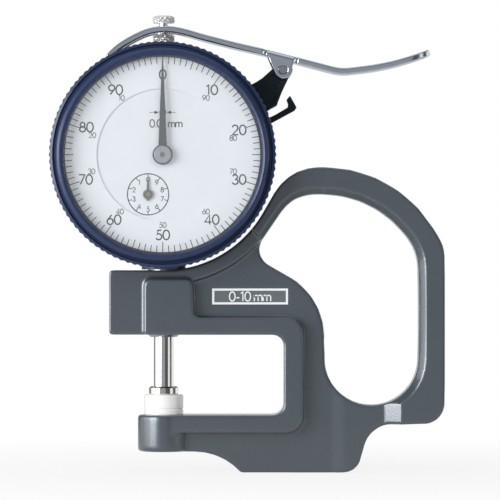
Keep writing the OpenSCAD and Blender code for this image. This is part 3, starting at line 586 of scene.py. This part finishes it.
# glyphs one unit high: advance width and strokes
GLYPHS = {
    "0": (0.62, [arc(0.31, 0.5, 0.31, 0.5, 90, 450, 28)]),
    "1": (0.34, [[(0.02, 0.84), (0.24, 1.0), (0.24, 0.0)]]),
    "2": (0.58, [arc(0.28, 0.71, 0.27, 0.29, 170, -38) + [(0.02, 0.0), (0.58, 0.0)]]),
    "3": (0.56, [
        arc(0.27, 0.76, 0.22, 0.24, 165, -90) + arc(0.27, 0.26, 0.28, 0.26, 90, -165),
    ]),
    "4": (0.62, [[(0.46, 0.0), (0.46, 1.0), (0.0, 0.25), (0.62, 0.25)]]),
    "5": (0.56, [[(0.52, 1.0), (0.2, 1.0), (0.1, 0.56)] + arc(0.26, 0.31, 0.29, 0.31, 122, -150)]),
    "6": (0.58, [arc(0.29, 0.3, 0.29, 0.3, 145, 505, 24), [(0.43, 1.0), (0.06, 0.47)]]),
    "7": (0.56, [[(0.0, 1.0), (0.56, 1.0), (0.16, 0.0)]]),
    "8": (0.56, [arc(0.28, 0.76, 0.22, 0.24, 90, 450, 20), arc(0.28, 0.27, 0.28, 0.27, 90, 450, 22)]),
    "9": (0.58, [arc(0.29, 0.7, 0.29, 0.3, -35, 325, 24), [(0.15, 0.0), (0.52, 0.53)]]),
    ".": (0.08, [[(0.04, -0.02), (0.04, 0.1)]]),
    "-": (0.36, [[(0.02, 0.36), (0.34, 0.36)]]),
    "m": (0.84, [
        [(0.0, 0.64), (0.0, 0.0)],
        arc(0.21, 0.42, 0.21, 0.22, 180, 0, 10) + [(0.42, 0.0)],
        arc(0.63, 0.42, 0.21, 0.22, 180, 0, 10) + [(0.84, 0.0)],
    ]),
    " ": (0.16, []),
}


class Print:
    """Gathers flat strokes, then makes one thin piece of ink from them."""

    def __init__(self, x, front, z):
        self.origin = Vector((x, front - INK, z))
        self.shape = bmesh.new()

    def stroke(self, points, width, closed=False):
        """A band of the given width along points, in mm from the origin, mitred at its corners."""
        points = [Vector(p) for p in points]
        count = len(points)
        left = []
        right = []
        for i, p in enumerate(points):
            before = points[i - 1] if i or closed else p
            after = points[(i + 1) % count] if i < count - 1 or closed else p
            ahead = (after - p).normalized() if after != p else (p - before).normalized()
            behind = (p - before).normalized() if before != p else ahead
            along = (ahead + behind).normalized()
            side = Vector((-along.y, along.x))
            mitre = 1 / max(1 / MOST_MITRE, along.dot(ahead))
            left.append(p + side * width / 2 * mitre)
            right.append(p - side * width / 2 * mitre)
        corners = [[self.corner(p) for p in line] for line in (left, right)]
        for i in range(count if closed else count - 1):
            j = (i + 1) % count
            self.shape.faces.new((corners[1][i], corners[1][j], corners[0][j], corners[0][i]))

    def corner(self, p):
        return self.shape.verts.new(self.origin + Vector((p.x * MM, 0, p.y * MM)))

    def fill(self, points):
        self.shape.faces.new([self.corner(Vector(p)) for p in points])

    def words(self, text, x, y, height, weight, spread=1.0):
        """Text with its middle at x, y, in mm."""
        widths = [GLYPHS[c][0] + GLYPH_GAP for c in text]
        at = x - (sum(widths) - GLYPH_GAP) * height * spread / 2
        for c, width in zip(text, widths):
            for points in GLYPHS[c][1]:
                ring = math.dist(points[0], points[-1]) < RING_GAP
                points = points[:-1] if ring else points
                placed = [(at + px * height * spread, y + (py - 0.5) * height) for px, py in points]
                self.stroke(placed, weight, ring)
            at += width * height * spread

    def piece(self, name, body, material, slot):
        mesh = bpy.data.meshes.new(name)
        bmesh.ops.recalc_face_normals(self.shape, faces=self.shape.faces)
        for face in self.shape.faces:
            if face.normal.y > 0:
                face.normal_flip()
        self.shape.to_mesh(mesh)
        self.shape.free()
        made = add_piece(name, mesh, body, material)
        thick = made.modifiers.new("ink", "SOLIDIFY")
        thick.thickness = INK
        thick.offset = -1


def spoke(angle, r_in, r_out, x=0.0, y=0.0):
    """Two points on a radius; the angle runs clockwise from the top."""
    a = math.radians(angle)
    return [(x + r * math.sin(a), y + r * math.cos(a)) for r in (r_in, r_out)]


# dial ring: radii, heights and widths in mm, turns in degrees
MARKS = 100
MARK_TURN = 360 / MARKS
TICK_OUT = 24.85
TICK_IN = {1: 22.95, 5: 22.55, 10: 22.05}
TICK_WIDTH = 0.21
NUMERAL_R = 20.25
NUMERAL_HEIGHT = 2.4
NUMERAL_WEIGHT = 0.36
NUMERAL_SPREAD = 1.08
# large numerals that stand off their spoke, by x and y
NUMERAL_SHIFT = {10: (0.5, 0), 40: (0.5, 0), 60: (-0.4, 0), 70: (-0.2, 0), 80: (0, 0.7)}
SMALL_HEIGHT = 1.3
SMALL_WEIGHT = 0.21
# the small numerals stand this far from the large ones, towards the middle
SMALL_X = 1.5
SMALL_Y = 2.05
SMALL_ABOVE_50 = 2.5


def print_dial_ring():
    scale = Print(DIAL.x, RING_FRONT, DIAL.z)
    small = Print(DIAL.x, RING_FRONT, DIAL.z)
    for mark in range(MARKS):
        step = 10 if mark % 10 == 0 else 5 if mark % 5 == 0 else 1
        scale.stroke(spoke(mark * MARK_TURN, TICK_IN[step], TICK_OUT), TICK_WIDTH)
    for value in range(0, MARKS, 10):
        x, y = spoke(value * MARK_TURN, NUMERAL_R, NUMERAL_R)[0]
        shift = NUMERAL_SHIFT.get(value, (0, 0))
        x += shift[0]
        y += shift[1]
        scale.words(str(value), x, y, NUMERAL_HEIGHT, NUMERAL_WEIGHT, NUMERAL_SPREAD)
        if value == 50:
            small.words("50", x, y + SMALL_ABOVE_50, SMALL_HEIGHT, SMALL_WEIGHT)
        elif value:
            x -= math.copysign(SMALL_X, x)
            y -= math.copysign(SMALL_Y, y)
            small.words(str(MARKS - value), x, y, SMALL_HEIGHT, SMALL_WEIGHT)
    scale.piece("dial_scale", "bezel_body", ink, "dial_white")
    small.piece("dial_scale_reversed", "bezel_body", pale_ink, "dial_white")


# inner dial: its unit, two arrows that meet between two bars, and the counter's scale, in mm
UNIT_X = 0.8
UNIT_Y = 7.9
UNIT_HEIGHT = 1.9
UNIT_WEIGHT = 0.27
ARROW_Y = 10.7
ARROW_TIP = 0.95
ARROW_TAIL = 3.35
ARROW_NECK = 1.75
ARROW_HEAD = 2.1
ARROW_SPREAD = 0.45
ARROW_WEIGHT = 0.14
BAR_X = 0.75
BAR_REACH = 0.6
COUNTER_R = 5.2
COUNTER_RIM = 0.26
COUNTER_STEPS = 64
COUNTER_TURN = 36
COUNTER_TICK = 0.95
COUNTER_NUMERAL_R = 3.75
COUNTER_HEIGHT = 1.2
COUNTER_WEIGHT = 0.2


def print_inner_dial():
    inner = Print(DIAL.x, INNER_FRONT, DIAL.z)
    inner.words("0.01 mm", UNIT_X, UNIT_Y, UNIT_HEIGHT, UNIT_WEIGHT)
    for side in (-1, 1):
        inner.stroke([(side * ARROW_TAIL, ARROW_Y), (side * ARROW_NECK, ARROW_Y)], ARROW_WEIGHT)
        inner.fill([
            (side * ARROW_TIP, ARROW_Y),
            (side * ARROW_HEAD, ARROW_Y + ARROW_SPREAD),
            (side * ARROW_HEAD, ARROW_Y - ARROW_SPREAD),
        ])
        bar = [(side * BAR_X, ARROW_Y - BAR_REACH), (side * BAR_X, ARROW_Y + BAR_REACH)]
        inner.stroke(bar, ARROW_WEIGHT)
    counter = (middle("rack_pinion") - DIAL) / MM
    rim = arc(counter.x, counter.z, COUNTER_R, COUNTER_R, 0, 360, COUNTER_STEPS)
    inner.stroke(rim[:-1], COUNTER_RIM, True)
    for value in range(10):
        turn = -value * COUNTER_TURN
        tick = spoke(turn, COUNTER_R - COUNTER_TICK, COUNTER_R, counter.x, counter.z)
        inner.stroke(tick, COUNTER_WEIGHT)
        x, y = spoke(turn, COUNTER_NUMERAL_R, COUNTER_NUMERAL_R, counter.x, counter.z)[0]
        inner.words(str(value), x, y, COUNTER_HEIGHT, COUNTER_WEIGHT)
    inner.piece("inner_scale", "gauge_body", ink, "dial_white")


# plate on the web: a pale border and the measuring range, in mm
BORDER = 0.55
BORDER_MARGIN = 0.1
RANGE_HEIGHT = 2.3
RANGE_WEIGHT = 0.31


def print_plate():
    place = middle("range_plate")
    label = Print(place.x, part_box("range_plate")[0].y, place.z)
    half = size("range_plate") / MM / 2
    x = half.x - BORDER / 2 - BORDER_MARGIN
    y = half.z - BORDER / 2 - BORDER_MARGIN
    label.stroke([(-x, -y), (x, -y), (x, y), (-x, y)], BORDER, True)
    label.words("0-10 mm", 0, 0, RANGE_HEIGHT, RANGE_WEIGHT)
    label.piece("range_print", "gauge_body", plate_border, "plate_print")


print_dial_ring()
print_inner_dial()
print_plate()

# Studio: pale floor, soft light from the left, white surround; lengths in metres
FLOOR_HALF = 0.2
FLOOR_GREY = (0.7, 0.7, 0.7, 1)
# share of plain white in what the camera sees of the floor: this much near the object, so that
# its shadow shows, and rising to the whole between these distances from the middle
NEAR_WHITE = 0.86
FADE_START = 0.04
FADE_END = 0.19
# share of plain white in what gloss shows of the floor
GLOSS_WHITE = 0.35


def floor_material():
    material = bpy.data.materials.new("floor")
    material.use_nodes = True
    tree = material.node_tree
    tree.nodes.remove(tree.nodes["Principled BSDF"])
    place = add_node(tree, "ShaderNodeTexCoord", {})
    reach = add_node(tree, "ShaderNodeVectorMath", {0: place.outputs["Object"]}, operation="LENGTH")
    fade = add_node(tree, "ShaderNodeMapRange", {
        "Value": reach.outputs["Value"],
        "From Min": FADE_START,
        "From Max": FADE_END,
        "To Min": NEAR_WHITE,
    })
    rays = add_node(tree, "ShaderNodeLightPath", {})
    seen = add_node(tree, "ShaderNodeMath", {
        0: rays.outputs["Is Camera Ray"],
        1: fade.outputs["Result"],
    }, operation="MULTIPLY")
    white = add_node(tree, "ShaderNodeMath", {
        0: rays.outputs["Is Glossy Ray"],
        1: GLOSS_WHITE,
        2: seen.outputs["Value"],
    }, operation="MULTIPLY_ADD")
    matt = add_node(tree, "ShaderNodeBsdfDiffuse", {"Color": FLOOR_GREY})
    glow = add_node(tree, "ShaderNodeEmission", {})
    mix = add_node(tree, "ShaderNodeMixShader", {
        "Fac": white.outputs["Value"],
        1: matt.outputs["BSDF"],
        2: glow.outputs["Emission"],
    })
    tree.links.new(mix.outputs["Shader"], tree.nodes["Material Output"].inputs["Surface"])
    return material


def add_floor():
    mesh = bpy.data.meshes.new("floor")
    shape = bmesh.new()
    bmesh.ops.create_grid(shape, x_segments=1, y_segments=1, size=FLOOR_HALF)
    shape.to_mesh(mesh)
    shape.free()
    floor = bpy.data.objects.new("floor", mesh)
    scene.collection.objects.link(floor)
    set_material(floor, floor_material())


# what shines back from metal: pale screens round the object with dark gaps between them,
# by the angle from the front in degrees, negative to the left
WALL = (0.12, 0.105, 0.095, 1)
SCREEN = (1, 1, 1, 1)
FRONT = (0.37, 0.38, 0.4, 1)
SHADE = (0.1, 0.105, 0.12, 1)
BACK = (0.62, 0.65, 0.68, 1)
ROOM = [
    (-160, BACK), (-152, WALL), (-126, WALL), (-121, SCREEN), (-99, SCREEN), (-95, WALL), (-80, WALL),
    (-75, SCREEN), (-33, SCREEN), (-27, FRONT), (12, FRONT), (19, SHADE), (51, SHADE), (57, SCREEN),
    (74, SCREEN), (80, WALL), (104, WALL), (112, SCREEN), (140, SCREEN), (160, BACK),
]
# above them a dark band and a pale ceiling, by the sine of the height angle
ROOM_TOP = 0.25
BAND_FOOT = 0.36
ABOVE = [(0.6, (0.16, 0.18, 0.22, 1)), (0.8, (0.75, 0.78, 0.82, 1))]
# the plain light from all round, and what the camera sees
AMBIENT = (0.42, 0.42, 0.42, 1)
WHITE = (1, 1, 1, 1)


def mirrored_room(tree):
    """The colour of the room in each direction."""
    direction = add_node(tree, "ShaderNodeTexCoord", {})
    parts = add_node(tree, "ShaderNodeSeparateXYZ", {"Vector": direction.outputs["Generated"]})
    ahead = add_node(tree, "ShaderNodeMath", {0: parts.outputs["Y"], 1: -1}, operation="MULTIPLY")
    angle = add_node(tree, "ShaderNodeMath", {
        0: parts.outputs["X"],
        1: ahead.outputs["Value"],
    }, operation="ARCTAN2")
    turn = add_node(tree, "ShaderNodeMapRange", {
        "Value": angle.outputs["Value"],
        "From Min": -math.pi,
        "From Max": math.pi,
    })
    around = ramp(tree, turn.outputs["Result"], [(0.5 + at / 360, colour) for at, colour in ROOM])
    height = add_node(tree, "ShaderNodeMapRange", {
        "Value": parts.outputs["Z"],
        "From Min": ROOM_TOP,
        "From Max": BAND_FOOT,
    })
    return mixed(tree, height.outputs["Result"], around, ramp(tree, parts.outputs["Z"], ABOVE))


def add_world():
    world = bpy.data.worlds.new("studio")
    scene.world = world
    world.use_nodes = True
    tree = world.node_tree
    rays = add_node(tree, "ShaderNodeLightPath", {})
    seen = add_node(tree, "ShaderNodeMath", {
        0: rays.outputs["Is Camera Ray"],
        1: rays.outputs["Is Transmission Ray"],
    }, operation="MAXIMUM")
    light = mixed(tree, rays.outputs["Is Glossy Ray"], AMBIENT, mirrored_room(tree))
    sky = tree.nodes["Background"]
    sky.inputs["Strength"].default_value = 1.0
    tree.links.new(mixed(tree, seen.outputs["Value"], light, WHITE), sky.inputs["Color"])


CAMERA_X = -10.7 * MM
CAMERA_Z = 56.65 * MM
CAMERA_DISTANCE = 1000 * MM
# in mm, as lenses are named
SENSOR_WIDTH = 36
FOCAL_LENGTH = 282.1
# name, place, width and power of each lamp, and whether metal and gloss show it
LAMPS = [
    ("key", (-0.59, -0.53, 0.15), 0.51, 4.6, True),
    ("side", (-0.8, -0.14, 0.12), 0.5, 1.5, True),
    ("fill", (0.3, -0.85, 0.45), 0.5, 1.8, False),
]


def add_lamp(name, place, width, power, mirrored):
    """A soft round lamp, turned to the middle of the view."""
    light = bpy.data.lights.new(name, "AREA")
    light.shape = "DISK"
    light.size = width
    light.energy = power
    lamp = bpy.data.objects.new(name, light)
    lamp.location = place
    aim = Vector((CAMERA_X, 0, CAMERA_Z)) - Vector(place)
    lamp.rotation_euler = aim.to_track_quat("-Z", "Y").to_euler()
    lamp.visible_glossy = mirrored
    scene.collection.objects.link(lamp)


def add_camera():
    lens = bpy.data.cameras.new("camera")
    lens.sensor_width = SENSOR_WIDTH
    lens.lens = FOCAL_LENGTH
    camera = bpy.data.objects.new("camera", lens)
    place = Matrix.Translation((CAMERA_X, -CAMERA_DISTANCE, CAMERA_Z))
    camera.matrix_world = place @ Matrix.Rotation(math.radians(90), 4, "X")
    scene.collection.objects.link(camera)
    scene.camera = camera


add_floor()
add_world()
for lamp in LAMPS:
    add_lamp(*lamp)
add_camera()
